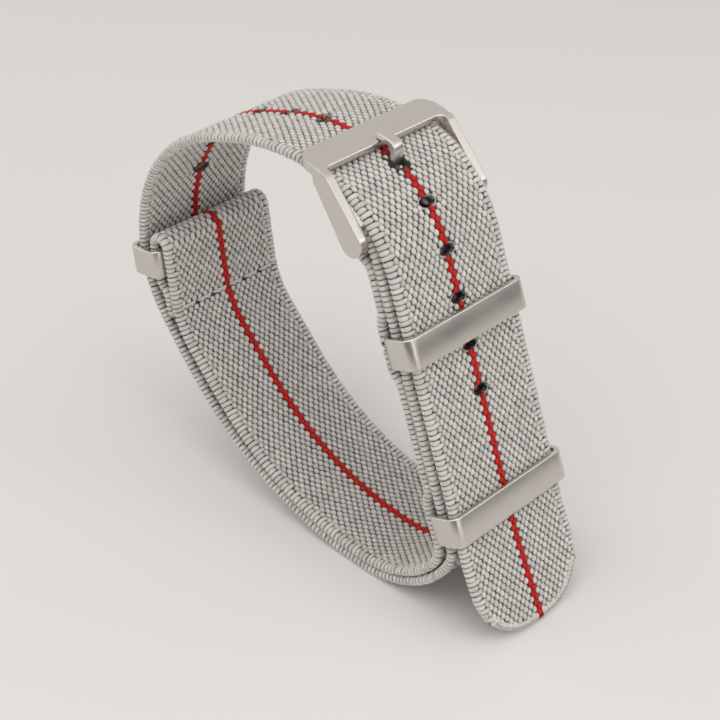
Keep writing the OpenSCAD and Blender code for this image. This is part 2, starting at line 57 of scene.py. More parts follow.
def follow(start, legs, step=0.05):
    """Middle line of a strap at even steps: running length, x, z and heading in radians. It starts at a
    place given from the spring bar's axis, with its heading in degrees. A leg is (length,) or
    (radius, turn in degrees), and turns to the left are positive."""
    x, z, a = start[0] + pin_x, start[1] + pin_z, math.radians(start[2])
    s, rows = 0.0, []
    for leg in legs:
        turn = 0.0 if len(leg) == 1 else math.radians(leg[1])
        length = leg[0] if turn == 0 else leg[0] * abs(turn)
        n = max(1, round(length / step))
        for k in range(n + (leg is legs[-1])):
            t = k / n
            if turn == 0:
                rows.append((s + t * length, x + t * length * math.cos(a), z + t * length * math.sin(a), a))
            else:
                r = math.copysign(leg[0], turn)
                b = a + t * turn
                across, drop = r * (math.sin(b) - math.sin(a)), r * (math.cos(b) - math.cos(a))
                rows.append((s + t * length, x + across, z - drop, b))
        if turn == 0:
            x, z = x + length * math.cos(a), z + length * math.sin(a)
        else:
            r = math.copysign(leg[0], turn)
            x, z = x + r * (math.sin(a + turn) - math.sin(a)), z - r * (math.cos(a + turn) - math.cos(a))
            a += turn
        s += length
    return np.array(rows)


def thinned(name, node, line, keep, narrow, trim=0.0, trim_run=9, batch=500):
    """Copy of a CAD strap that keeps a share of its thickness and of its width. Its free end is drawn
    back by trim, which fades out over trim_run."""
    bm = bmesh.new()
    bm.from_mesh(nodes[node].data)
    bmesh.ops.remove_doubles(bm, verts=bm.verts, dist=weld)
    bmesh.ops.recalc_face_normals(bm, faces=bm.faces)
    mesh = bpy.data.meshes.new(name)
    bm.to_mesh(mesh)
    bm.free()
    co = np.empty(len(mesh.vertices) * 3)
    mesh.vertices.foreach_get("co", co)
    co = co.reshape(-1, 3)
    for i in range(0, len(co), batch):
        part = co[i:i + batch] * 1000
        near = np.argmin((part[:, :1] - line[:, 1]) ** 2 + (part[:, 2:] - line[:, 2]) ** 2, axis=1)
        x, z, a = line[near, 1], line[near, 2], line[near, 3]
        along = (part[:, 0] - x) * np.cos(a) + (part[:, 2] - z) * np.sin(a)
        along -= trim * np.clip((line[near, 0] - line[-1, 0] + trim_run) / trim_run, 0, 1)
        out = keep * (-(part[:, 0] - x) * np.sin(a) + (part[:, 2] - z) * np.cos(a))
        co[i:i + batch, 0] = (x + along * np.cos(a) - out * np.sin(a)) / 1000
        co[i:i + batch, 1] *= narrow
        co[i:i + batch, 2] = (z + along * np.sin(a) + out * np.cos(a)) / 1000
    mesh.vertices.foreach_set("co", co.ravel())
    mesh.update()
    ob = bpy.data.objects.new(name, mesh)
    bpy.context.scene.collection.objects.link(ob)
    return ob


def new_material(name, roughness, metallic=0.0):
    """Material with its shader, and the node tree's own nodes and links for what feeds it."""
    mat = bpy.data.materials.new(name)
    mat.use_nodes = True
    shader = mat.node_tree.nodes["Principled BSDF"]
    shader.inputs["Roughness"].default_value = roughness
    shader.inputs["Metallic"].default_value = metallic
    return mat, shader, mat.node_tree.nodes, mat.node_tree.links


main_line = follow((4.22747, -13.413, 110), [
    (2.35,), (3, -31.6066), (3, 31.6066), (4.423,), (3, 43.5312), (3, -43.5312), (1.375, -180),
    (5, 15.2036), (5, -15.2036), (39.3775,), (4.6, -47.5), (17.5, -62.5), (46.9852, -51), (6.3,),
    (18.7, -31), (18.7, -8), (23.4045, -72), (5.2,), (33.7, -28.5), (15.3, -39.5), (18.266, -20),
    (37.5257,), (45, 5), (10.845,)
])
ground_mat, ground_shader, n, link = new_material("elastic_ground", 0.85)
knit = n.new("ShaderNodeTexNoise")
knit.inputs["Scale"].default_value = 1400
knit.inputs["Detail"].default_value = 3
place = n.new("ShaderNodeTexCoord")
link.new(place.outputs["Object"], knit.inputs["Vector"])
# Near-black tone: the elastic's own dark colour, darkened further as painted shade for the gaps.
tone = n.new("ShaderNodeValToRGB")
tone.color_ramp.elements[0].position, tone.color_ramp.elements[0].color = 0.35, (0.012, 0.011, 0.010, 1)
tone.color_ramp.elements[1].position, tone.color_ramp.elements[1].color = 0.7, (0.06, 0.055, 0.05, 1)
link.new(knit.outputs["Fac"], tone.inputs["Fac"])
link.new(tone.outputs["Color"], ground_shader.inputs["Base Color"])
rough = n.new("ShaderNodeBump")
rough.inputs["Strength"].default_value = 0.5
rough.inputs["Distance"].default_value = 0.00008
link.new(knit.outputs["Fac"], rough.inputs["Height"])
link.new(rough.outputs["Normal"], ground_shader.inputs["Normal"])

main_ground = thinned("main_strap_ground", "main_strap", main_line, keep=0.6, narrow=0.975, trim=0.35)
main_ground.data.materials.clear()
main_ground.data.materials.append(ground_mat)
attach(main_ground, "band")
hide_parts("main_strap")


# Main strap, its grey yarns: on each face a field of short floats, 1.02 mm apart across the strap in
# rows 0.71 mm apart, each row set over by half. A hole is pushed open between the yarns, which bow
# round it and are squeezed a little.
half_thick, half_width, tip_round = 0.675, 10, 8.5
yarn_pitch, columns = 1.02, np.arange(-9, 10)
hole_pitch = 6.4
row_step = hole_pitch / 9
red_side, field_side = 0.6, 8.5
tongue_hole = 7


def float_shape(name, rings, painted_light_floor=0.0, sides=8):
    """Closed domed float, one unit long, wide and high each way. Rings are (height, reach). It carries
    painted light that rises with height, from the given floor at its base, where the shade is painted, to
    full at its top.
    """
    bm = bmesh.new()
    painted_light = bm.verts.layers.float.new("painted_light")
    grain = bm.verts.layers.float_vector.new("grain")

    def vertex(x, y, z):
        v = bm.verts.new((x, y, z))
        # Painted shade: the float is darker towards its base and full tone at its top.
        v[painted_light] = painted_light_floor + (1 - painted_light_floor) * max(0.0, z)
        v[grain] = (x, y, z)
        return v

    turns = [2 * math.pi * k / sides for k in range(sides)]
    loops = [[vertex(r * math.cos(turn), r * math.sin(turn), h) for turn in turns] for h, r in rings]
    top = vertex(0, 0, 1)
    for low, high in zip(loops, loops[1:]):
        for k in range(sides):
            bm.faces.new((low[k], low[(k + 1) % sides], high[(k + 1) % sides], high[k]))
    for k in range(sides):
        bm.faces.new((loops[-1][k], loops[-1][(k + 1) % sides], top))
    bm.faces.new(loops[0][::-1])
    return finished_shape(name, bm)


def finished_shape(name, bm):
    """Smooth object with its faces turned outwards, not yet in the scene."""
    bmesh.ops.recalc_face_normals(bm, faces=bm.faces)
    for face in bm.faces:
        face.smooth = True
    mesh = bpy.data.meshes.new(name)
    bm.to_mesh(mesh)
    bm.free()
    return bpy.data.objects.new(name, mesh)


def laying_tree():
    """Geometry Nodes tree that lays a shape on every place, each a little off true, with its own shade."""
    tree = bpy.data.node_groups.new("Lay yarns", "GeometryNodeTree")
    face = tree.interface
    face.new_socket("Places", in_out="INPUT", socket_type="NodeSocketGeometry")
    face.new_socket("Yarn shape", in_out="INPUT", socket_type="NodeSocketObject")
    face.new_socket("Material", in_out="INPUT", socket_type="NodeSocketMaterial")
    face.new_socket("Seed", in_out="INPUT", socket_type="NodeSocketInt")
    face.new_socket("Unevenness", in_out="INPUT", socket_type="NodeSocketFloat")
    face.new_socket("Yarns", in_out="OUTPUT", socket_type="NodeSocketGeometry")
    n, link = tree.nodes, tree.links
    into, out = n.new("NodeGroupInput"), n.new("NodeGroupOutput")
    shape = n.new("GeometryNodeObjectInfo")
    link.new(into.outputs["Yarn shape"], shape.inputs["Object"])
    turn = n.new("GeometryNodeInputNamedAttribute")
    turn.data_type = "QUATERNION"
    turn.inputs["Name"].default_value = "turn"
    size = n.new("GeometryNodeInputNamedAttribute")
    size.data_type = "FLOAT_VECTOR"
    size.inputs["Name"].default_value = "size"
    lay = n.new("GeometryNodeInstanceOnPoints")
    link.new(into.outputs["Places"], lay.inputs["Points"])
    link.new(shape.outputs["Geometry"], lay.inputs["Instance"])
    link.new(turn.outputs[0], lay.inputs["Rotation"])
    link.new(size.outputs[0], lay.inputs["Scale"])
    wobble = n.new("FunctionNodeRandomValue")
    wobble.data_type = "FLOAT_VECTOR"
    wobble.inputs["Min"].default_value = (-0.05, -0.07, -0.14)
    wobble.inputs["Max"].default_value = (0.05, 0.07, 0.14)
    link.new(into.outputs["Seed"], wobble.inputs["Seed"])
    scaled = n.new("ShaderNodeVectorMath")
    scaled.operation = "SCALE"
    link.new(wobble.outputs["Value"], scaled.inputs[0])
    link.new(into.outputs["Unevenness"], scaled.inputs["Scale"])
    shake = n.new("GeometryNodeRotateInstances")
    link.new(lay.outputs["Instances"], shake.inputs["Instances"])
    link.new(scaled.outputs["Vector"], shake.inputs["Rotation"])
    chance = n.new("FunctionNodeRandomValue")
    chance.data_type = "FLOAT"
    link.new(into.outputs["Seed"], chance.inputs["Seed"])
    keep = n.new("GeometryNodeStoreNamedAttribute")
    keep.data_type, keep.domain = "FLOAT", "INSTANCE"
    keep.inputs["Name"].default_value = "shade"
    link.new(shake.outputs["Instances"], keep.inputs["Geometry"])
    link.new([o for o in chance.outputs if o.type == "VALUE"][0], keep.inputs["Value"])
    real = n.new("GeometryNodeRealizeInstances")
    link.new(keep.outputs["Geometry"], real.inputs["Geometry"])
    dye = n.new("GeometryNodeSetMaterial")
    link.new(real.outputs["Geometry"], dye.inputs["Geometry"])
    link.new(into.outputs["Material"], dye.inputs["Material"])
    link.new(dye.outputs["Geometry"], out.inputs["Yarns"])
    return tree


lay_yarns = laying_tree()


def laid(name, places, shape, material, seed, unevenness=1.0):
    """One plain mesh of the shape laid on places, which are (points in mm, quaternions, sizes in mm)."""
    co, turn, size = (np.concatenate(p) if len(p) else np.zeros((0, 3)) for p in zip(*places))
    mesh = bpy.data.meshes.new(name)
    mesh.vertices.add(len(co))
    mesh.vertices.foreach_set("co", (co / 1000).ravel())
    mesh.attributes.new("turn", "QUATERNION", "POINT").data.foreach_set("value", turn.ravel())
    mesh.attributes.new("size", "FLOAT_VECTOR", "POINT").data.foreach_set("vector", (size / 1000).ravel())
    ob = bpy.data.objects.new(name, mesh)
    bpy.context.scene.collection.objects.link(ob)
    mod = ob.modifiers.new("Lay yarns", "NODES")
    mod.node_group = lay_yarns
    given = {"Yarn shape": shape, "Material": material, "Seed": seed, "Unevenness": unevenness}
    for item in lay_yarns.interface.items_tree:
        if item.item_type == "SOCKET" and item.name in given:
            mod[item.identifier] = given[item.name]
    bpy.context.view_layer.update()
    made = bpy.data.meshes.new_from_object(ob.evaluated_get(bpy.context.evaluated_depsgraph_get()))
    ob.modifiers.clear()
    ob.data = made
    made.name = name
    bpy.data.meshes.remove(mesh)
    return ob


def surface_of(*names):
    """Search tree over CAD nodes, to tell where a strap is cut away."""
    bm = bmesh.new()
    for name in names:
        bm.from_mesh(nodes[name].data)
    tree = BVHTree.FromBMesh(bm)
    bm.free()
    return tree


def on_line(line, s, y, out, spin, flipped):
    """Points and turns of things that lie on a strap at running lengths s."""
    at = np.clip(np.searchsorted(line[:, 0], s), 0, len(line) - 1)
    x, z, a = line[at, 1], line[at, 2], line[at, 3]
    co = np.stack([x - out * np.sin(a), y, z + out * np.cos(a)], axis=1)
    cy, sy, cz, sz = np.cos(-a / 2), np.sin(-a / 2), np.cos(spin / 2), np.sin(spin / 2)
    turn = np.stack([cy * cz, sy * sz, sy * cz, cy * sz], axis=1)
    if flipped:
        turn = np.stack([-turn[:, 1], turn[:, 0], turn[:, 3], -turn[:, 2]], axis=1)
    return co, turn


def bend_at(line, s):
    """How sharply a strap turns at running lengths s, in radians for each mm."""
    at = np.clip(np.searchsorted(line[:, 0], s), 4, len(line) - 5)
    return (line[at + 4, 3] - line[at - 4, 3]) / (line[at + 4, 0] - line[at - 4, 0])


def beside_hole(s, y, holes, ahead, aside):
    """True where a float would hang over a hole. Holes are (running length, half length, half width)."""
    over = np.zeros(len(s), bool)
    for middle, half, side in holes:
        over |= ((s - middle) / (half + ahead)) ** 2 + (y / (side + aside)) ** 2 < 1
    return over


def kept(line, surface, s, y, face, reach):
    """True where the strap's own surface is within reach of a float."""
    skin, _ = on_line(line, s, y, np.full_like(s, face * half_thick), np.zeros_like(s), False)
    found = [surface.find_nearest(Vector(place), reach / 1000)[0] for place in skin / 1000]
    return np.array([place is not None for place in found], bool)


def edge_at(line, s, round_end):
    """Distance from the strap's middle to its edge, where the free end is rounded off."""
    over = np.clip(s - line[-1, 0] + round_end, 0, round_end)
    return half_width - round_end + np.sqrt(round_end ** 2 - over ** 2)


def inside_rim(line, s, y, round_end):
    """Distance in from the rounded free end, and a lot for places before it."""
    over = s - line[-1, 0] + round_end
    reach = np.hypot(np.clip(over, 0, None), np.clip(np.abs(y) - half_width + round_end, 0, None))
    return np.where(over > 0.55 * round_end, round_end - reach, round_end)


def rows_between(first, last, phase):
    """Numbers of the weave's rows between two running lengths."""
    return np.arange(math.ceil((first - phase) / row_step), math.ceil((last - phase) / row_step))


def drawn_down(s, sunk, deep, start):
    """How far the seams at the running lengths in sunk draw the yarns down, on top of start."""
    return sum((deep * np.exp(-((s - row) / 0.42) ** 2) for row in sunk), start)


def field(line, surface, face, first, last, holes, sunk=(), phase=0.0, round_end=0.0):
    """Places of the grey floats on one face between two running lengths."""
    rows = rows_between(first, last, phase)
    s, y = np.meshgrid(rows * row_step + phase, columns * yarn_pitch, indexing="ij")
    odd = (rows + (face < 0)) % 2
    y = y + np.where(odd, -yarn_pitch / 4, yarn_pitch / 4)[:, None]
    s, y = s.ravel(), y.ravel()
    keep = (np.abs(y) > red_side) & (np.abs(y) < field_side) & ~beside_hole(s, y, holes, 0.15, -0.1)
    keep &= np.abs(y) < edge_at(line, s + 0.1, round_end) - 0.1
    keep &= inside_rim(line, s, y, round_end) > 0.82 if round_end else True
    s, y = s[keep], y[keep]
    squeeze, bowed, pushed, squeezed = np.ones_like(s), 0.38, 0.1, 0.14
    for middle, half, side in holes:
        off = s - middle
        bow = np.exp(-(off / (half + 0.2)) ** 2) * np.exp(-np.clip(np.abs(y) - side, 0, None) / 0.9)
        push = np.exp(-np.clip(np.abs(off) - half, 0, None) / 0.6) * np.exp(-(y / side) ** 2)
        y = y + np.sign(y) * np.where(np.abs(y) > 0.9 * side, bowed * bow, 0)
        s = s + np.sign(off) * np.where(np.abs(off) > half, pushed * push, 0)
        squeeze -= squeezed * np.clip(bow + push, 0, 1) * (np.abs(off) < 3)
    keep = kept(line, surface, s, y, face, 0.12)
    keep |= beside_hole(s, y, holes[tongue_hole:tongue_hole + 1], 1.3, 0.8)
    s, y, squeeze = s[keep], y[keep], squeeze[keep]
    low = drawn_down(s, sunk, 0.13, np.zeros_like(s))
    stitch_long, in_groove, needle_deep = 3, 0.078, 0.37
    needle = np.abs((y + stitch_long / 2) % stitch_long - stitch_long / 2) < 0.42
    low = np.where(needle & (low > in_groove), low + needle_deep, low)
    stretch = np.clip(1 - face * half_thick * bend_at(line, s), 0.55, 1.35)
    uneven = chance.normal(1, 0.035, (3, len(s)))
    long, wide, high = 0.54, 0.47, 0.44
    size = np.stack([long * stretch * squeeze, wide * squeeze, np.full_like(s, high)], axis=1) * uneven.T
    s, y = s + chance.normal(0, 0.015, len(s)), y + chance.normal(0, 0.02, len(s))
    co, turn = on_line(line, s, y, face * (half_thick - size[:, 2] - low), np.zeros_like(s), face < 0)
    return co, turn, size


def red_field(line, surface, face, first, last, holes, sunk=(), phase=0.0):
    """Places of the red floats of one face: two columns that take turns, slanting towards each other."""
    rows = rows_between(first, last, phase)
    s = rows * row_step + phase
    y = np.where((rows + (face < 0)) % 2, -0.235, 0.235)
    keep = kept(line, surface, s, y, face, 0.16)
    keep |= beside_hole(s, y, holes[tongue_hole:tongue_hole + 1], 1.3, 0.8)
    keep &= ~beside_hole(s, y, holes, 0.2, 0.0)
    s, y = s[keep], y[keep]
    last_one = beside_hole(s, y, holes, 0.6, 0.0)
    low = drawn_down(s, sunk, 0.2, np.where(last_one, 0.02, 0.0))
    stretch = np.clip(1 - face * half_thick * bend_at(line, s), 0.6, 1.35)
    long, wide, high, top, slant = 0.54, 0.46, 0.42, 0.7, 0.3
    size = np.stack([long * stretch, np.full_like(s, wide), np.full_like(s, high)], axis=1)
    size[:, 1] *= np.where(last_one, 0.85, 1.0)
    co, turn = on_line(line, s, y, face * (top - high - low), slant * np.sign(y), face < 0)
    return co, turn, size


def yarn_material(name, yarn, deep, roughness, sheen):
    """Spun yarn: fine fibres along each float, painted shade in the deep colour towards each float's base,
    and no two floats the same.
    """
    mat, shader, n, link = new_material(name, roughness)
    shader.inputs["Sheen Weight"].default_value = sheen
    shader.inputs["Specular IOR Level"].default_value = 0.25
    look = n.new("ShaderNodeGroup")
    look.node_tree = yarn_look
    look.inputs["Yarn"].default_value = (*yarn, 1)
    look.inputs["Painted shade"].default_value = (*deep, 1)
    link.new(look.outputs["Color"], shader.inputs["Base Color"])
    link.new(look.outputs["Normal"], shader.inputs["Normal"])
    return mat


yarn_look = bpy.data.node_groups.new("Yarn look", "ShaderNodeTree")
yarn_look.interface.new_socket("Yarn", in_out="INPUT", socket_type="NodeSocketColor")
yarn_look.interface.new_socket("Painted shade", in_out="INPUT", socket_type="NodeSocketColor")
yarn_look.interface.new_socket("Color", in_out="OUTPUT", socket_type="NodeSocketColor")
yarn_look.interface.new_socket("Normal", in_out="OUTPUT", socket_type="NodeSocketVector")
n, link = yarn_look.nodes, yarn_look.links
into, out = n.new("NodeGroupInput"), n.new("NodeGroupOutput")
painted_light, shade, grain = (n.new("ShaderNodeAttribute") for _ in range(3))
painted_light.attribute_name, shade.attribute_name, grain.attribute_name = "painted_light", "shade", "grain"
# Painted shade: the deep colour is mixed in towards each float's base, driven by its painted light
# attribute.
painted_shade_ramp = n.new("ShaderNodeMapRange")
painted_shade_ramp.inputs["From Min"].default_value, painted_shade_ramp.inputs["From Max"].default_value = 0.15, 0.85
link.new(painted_light.outputs["Fac"], painted_shade_ramp.inputs["Value"])
blend = n.new("ShaderNodeMix")
blend.data_type = "RGBA"
link.new(painted_shade_ramp.outputs["Result"], blend.inputs["Factor"])
link.new(into.outputs["Painted shade"], blend.inputs["A"])
link.new(into.outputs["Yarn"], blend.inputs["B"])
vary = n.new("ShaderNodeMapRange")
vary.inputs["To Min"].default_value, vary.inputs["To Max"].default_value = 0.88, 1.08
link.new(shade.outputs["Fac"], vary.inputs["Value"])
spread = n.new("ShaderNodeVectorMath")
spread.operation = "MULTIPLY_ADD"
spread.inputs[1].default_value = (1.1, 5.0, 1.1)
link.new(grain.outputs["Vector"], spread.inputs[0])
shift = n.new("ShaderNodeCombineXYZ")
far = n.new("ShaderNodeMath")
far.operation = "MULTIPLY"
far.inputs[1].default_value = 71
link.new(shade.outputs["Fac"], far.inputs[0])
link.new(far.outputs["Value"], shift.inputs["Z"])
link.new(shift.outputs["Vector"], spread.inputs[2])
fibre = n.new("ShaderNodeTexNoise")
fibre.inputs["Scale"].default_value = 1.6
fibre.inputs["Detail"].default_value = 3
link.new(spread.outputs["Vector"], fibre.inputs["Vector"])
streak = n.new("ShaderNodeMapRange")
streak.inputs["From Min"].default_value, streak.inputs["From Max"].default_value = 0.3, 0.7
streak.inputs["To Min"].default_value, streak.inputs["To Max"].default_value = 0.86, 1.06
link.new(fibre.outputs["Fac"], streak.inputs["Value"])
both = n.new("ShaderNodeMath")
both.operation = "MULTIPLY"
link.new(vary.outputs["Result"], both.inputs[0])
link.new(streak.outputs["Result"], both.inputs[1])
tint = n.new("ShaderNodeVectorMath")
tint.operation = "SCALE"
link.new(blend.outputs["Result"], tint.inputs[0])
link.new(both.outputs["Value"], tint.inputs["Scale"])
link.new(tint.outputs["Vector"], out.inputs["Color"])
ridge = n.new("ShaderNodeBump")
ridge.inputs["Strength"].default_value = 0.55
ridge.inputs["Distance"].default_value = 0.00006
link.new(fibre.outputs["Fac"], ridge.inputs["Height"])
link.new(ridge.outputs["Normal"], out.inputs["Normal"])

# The second colour is painted shade at the base of each float.
grey_yarn = yarn_material("grey_yarn", (0.74, 0.71, 0.67), (0.05, 0.046, 0.042), 0.6, 0.1)
dome = [(-0.2, 0.94), (0.4, 1.0), (0.8, 0.68)]
yarn_float = float_shape("float", dome)
# The cut knobs get less painted shade at their base.
cut_float = float_shape("cut_float", dome, painted_light_floor=0.45)
main_skin = surface_of("main_strap", "main_strap_stripe")
hole_zero = 199.293
main_holes = [(hole_zero + hole_pitch * k, 0.7, 1.3) for k in range(-tongue_hole, 6)]
main_holes[tongue_hole] = (hole_zero + 0.2, 1.3, 1.15)
main_phase = hole_zero + row_step / 2
chance = np.random.default_rng(7)
for k, (name, first, last) in enumerate([
    ("main_strap_yarns_sewn", 1.0, 66), ("main_strap_yarns_far_side", 66, 132),
    ("main_strap_yarns_crown", 132, 199), ("main_strap_yarns_tail", 199, 264.6)
]):
    cloth = laid(name, [
        field(main_line, main_skin, face, first, last, main_holes, (), main_phase, tip_round)
        for face in (1, -1)
    ], yarn_float, grey_yarn, 11 + k)
    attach(cloth, "band")
    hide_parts("main_strap")


# Main strap, the walls of its holes: warp yarns that bow round each hole and are packed into a collar, with
# painted light at the rim and painted shade inside. At the tongue the weft closes up to the metal.
def hole_wall(name, profile, around=28):
    """Closed oval collar. The profile is a closed loop of (reach along, reach across, height, painted
    light).
    """
    bm = bmesh.new()
    painted_light = bm.verts.layers.float.new("painted_light")
    grain = bm.verts.layers.float_vector.new("grain")
    loops = []
    for i in range(around):
        turn = 2 * math.pi * i / around
        loop = []
        for k, (along, across, up, light) in enumerate(profile):
            uneven = 1 + 0.035 * math.sin(5 * turn + 0.9 * k) + 0.025 * math.sin(11 * turn)
            v = bm.verts.new((along * uneven * math.cos(turn), across * uneven * math.sin(turn), up))
            v[painted_light] = light
            v[grain] = (i * 0.25, 0.7 * k, 0)
            loop.append(v)
        loops.append(loop)
    for near, far in zip(loops, loops[1:] + loops[:1]):
        for k in range(len(profile)):
            after = (k + 1) % len(profile)
            bm.faces.new((near[k], near[after], far[after], far[k]))
    return finished_shape(name, bm)


def swept(name, path, half_x, half_n, sides=8):
    """Closed sausage along a path of (y, z) points, for a yarn or stitch that runs across the strap."""
    bm = bmesh.new()
    painted_light = bm.verts.layers.float.new("painted_light")
    grain = bm.verts.layers.float_vector.new("grain")
    loops, run = [], 0.0
    for i, (y, z) in enumerate(path):
        before, after = Vector(path[max(i - 1, 0)]), Vector(path[min(i + 1, len(path) - 1)])
        ahead = (after - before).normalized()
        run += (Vector((y, z)) - before).length
        loop = []
        for k in range(sides):
            turn = 2 * math.pi * (k + 0.5) / sides
            x, rise = half_x[i] * math.cos(turn), half_n[i] * math.sin(turn)
            v = bm.verts.new((x, y - rise * ahead.y, z + rise * ahead.x))
            # Painted shade: darker on the underside, full tone on the top.
            v[painted_light] = 0.35 + 0.65 * max(0.0, math.sin(turn))
            v[grain] = (run, x * 2, rise * 2)
            loop.append(v)
        loops.append(loop)
    for low, high in zip(loops, loops[1:]):
        for k in range(sides):
            bm.faces.new((low[k], low[(k + 1) % sides], high[(k + 1) % sides], high[k]))
    bm.faces.new(loops[0][::-1])
    bm.faces.new(loops[-1])
    return finished_shape(name, bm)


# Painted light for each ring of the collar: bright at the rim, painted shade down inside the hole.
hole_collar = hole_wall("hole_collar", [
    (0.68, 1.24, -0.62, 0.1), (0.66, 1.22, -0.2, 0.15), (0.67, 1.23, 0.15, 0.3),
    (0.72, 1.3, 0.34, 0.5), (0.8, 1.4, 0.43, 0.65), (0.9, 1.52, 0.42, 0.55),
    (1.12, 1.8, 0.32, 0.3), (1.0, 1.6, 0.1, 0.1), (1.0, 1.6, -0.5, 0.1)
])
nought, one_size = np.zeros(1), np.ones((1, 3))
places = [
    on_line(main_line, np.array([hole[0]]), nought, nought, nought, False) + (one_size,)
    for hole in main_holes[:tongue_hole] + main_holes[tongue_hole + 1:]
]
hole_walls = laid("main_strap_hole_walls", places, hole_collar, grey_yarn, 27, 0.3)
closing_weft = swept(
    "closing_weft", [(-1.4, 0), (-1.2, 0), (1.2, 0), (1.4, 0)],
    half_x=[0.2, 0.36, 0.36, 0.2], half_n=[0.25, 0.42, 0.42, 0.25]
)
at_tongue = hole_zero + np.array([-0.95, 1.38, 1.95])
across = on_line(main_line, at_tongue, np.zeros(3), np.zeros(3), np.zeros(3), False)
across += (np.tile([1.0, 1.0, 1.38], (3, 1)),)
beside_y, along_strap = np.array([-1.12, 1.12]), np.full(2, math.pi / 2)
beside = on_line(main_line, np.full(2, hole_zero + 0.4), beside_y, np.zeros(2), along_strap, False)
beside += (np.tile([0.6, 0.93, 1.48], (2, 1)),)
tongue_weft = laid("main_strap_weft_at_tongue", [across, beside], closing_weft, ground_mat, 28, 0.2)
for piece in (hole_walls, tongue_weft):
    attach(piece, "band")
    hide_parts("main_strap")


# Main strap, its selvedges: yarns 0.71 mm apart lie across each edge and turn down round it, one row
# from each face. Every other one starts 0.5 mm further in.
def selvedge(line, surface, first, last, sunk=(), phase=0.0, round_end=0.0):
    """Places of the wrapping yarns on both edges, for both faces."""
    places = []
    for face in (1, -1):
        rows = rows_between(first, last, phase)
        s = rows * row_step + phase
        stretch = np.clip(1 - face * 0.5 * bend_at(line, s), 0.6, 1.3)
        low = drawn_down(s, sunk, 0.15, np.zeros_like(s))
        for side in (1, -1):
            spin = np.full_like(s, 0.0 if side * face > 0 else math.pi)
            long = (rows + (side < 0) + (face < 0)) % 2 == 1
            inner = np.where(long, 8.38, 8.89) + chance.normal(0, 0.05, len(s))
            outer = edge_at(line, s, round_end) - 0.03
            co, turn = on_line(line, s, side * outer, -face * low, spin, face < 0)
            there = kept(line, surface, s, side * (outer - 0.3), face, 0.2)
            size = np.stack([stretch, (outer - inner) / 1.5, chance.normal(1, 0.04, len(s))], axis=1)
            places.append((co[there], turn[there], size[there]))
    return places


edge_yarn = swept(
    "edge_yarn",
    [(-1.5, 0.24), (-1.42, 0.38), (-1.1, 0.45), (-0.7, 0.44),
     (-0.38, 0.33), (-0.17, 0.12), (-0.14, -0.14), (-0.3, -0.36)],
    half_x=[0.14, 0.28, 0.34, 0.355, 0.35, 0.33, 0.29, 0.14],
    half_n=[0.08, 0.18, 0.24, 0.26, 0.27, 0.27, 0.22, 0.1]
)
main_edges = laid(
    "main_strap_selvedges", selvedge(main_line, main_skin, 0.6, 261.4, (), main_phase, tip_round),
    edge_yarn, grey_yarn, 21, 0.4
)
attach(main_edges, "band")
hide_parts("main_strap")


# Main strap, its cut ends: the yarns are fused into short turned-down knobs along the rounded tip and
# straight across at the sewn end, with a row of flat ones just inside them.
knob_size = np.array([[0.74, 0.36, 0.43]])


def knobs(line, ahead, y, lean, inset):
    """Places of upright knobs on a cut edge. Ahead is the running length, lean the way the edge faces."""
    places = []
    for s, across, turned in zip(ahead, y, lean):
        s, across = s - inset * math.cos(turned), across - inset * math.sin(turned)
        _, x, z, a = line[np.clip(np.searchsorted(line[:, 0], s), 0, len(line) - 1)]
        out = Vector((math.cos(a) * math.cos(turned), math.sin(turned), math.sin(a) * math.cos(turned)))
        down = Vector((math.sin(a), 0, -math.cos(a)))
        turn = Matrix((down, out.cross(down), out)).transposed().to_quaternion()
        places.append((np.array([[x, across, z]]), np.array([list(turn)]), knob_size))
    return places


def flat_row(line, ahead, y, lean, inset):
    """Places of flat floats on both faces, a little way in from a cut edge."""
    places = []
    for face in (1, -1):
        s, across = ahead - inset * np.cos(lean), y - inset * np.sin(lean)
        co, turn = on_line(line, s, across, np.full_like(y, face * 0.265), lean, face < 0)
        places.append((co, turn, np.tile([0.5, 0.37, 0.41], (len(y), 1))))
    return places


def straight_cut(line, at_end):
    """Places along a cut straight across, and the same for the red yarns at its middle."""
    y = np.concatenate([np.arange(-9.5, -0.6, 0.63), np.arange(0.68, 9.6, 0.63)])
    s, faces_to = (line[-1, 0], 0.0) if at_end else (0.0, math.pi)
    grey, red = (
        knobs(line, np.full_like(v, s), v, np.full_like(v, faces_to), knob_in)
        + flat_row(line, np.full_like(v, s), v, np.full_like(v, faces_to), flat_in) for v in (y, red_y)
    )
    return grey, red


knob_in, flat_in, red_y = 0.4, 0.7, np.array([-0.2, 0.2])
lean = np.arange(0.037, 1.0, 0.074)
lean = np.concatenate([lean, -lean, np.zeros(4)])
rim_y = np.sign(lean[:-4]) * (half_width - tip_round) + tip_round * np.sin(lean[:-4])
rim_y = np.concatenate([rim_y, [-1.25, -0.68, 0.68, 1.25]])
rim_s = main_line[-1, 0] - tip_round + tip_round * np.cos(lean)
sewn_grey, sewn_red = straight_cut(main_line, False)
tip_grey = knobs(main_line, rim_s, rim_y, lean, knob_in) + flat_row(main_line, rim_s, rim_y, lean, 0.62)
main_ends = laid("main_strap_cut_ends", tip_grey + sewn_grey, cut_float, grey_yarn, 29, 0.6)
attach(main_ends, "band")
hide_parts("main_strap")

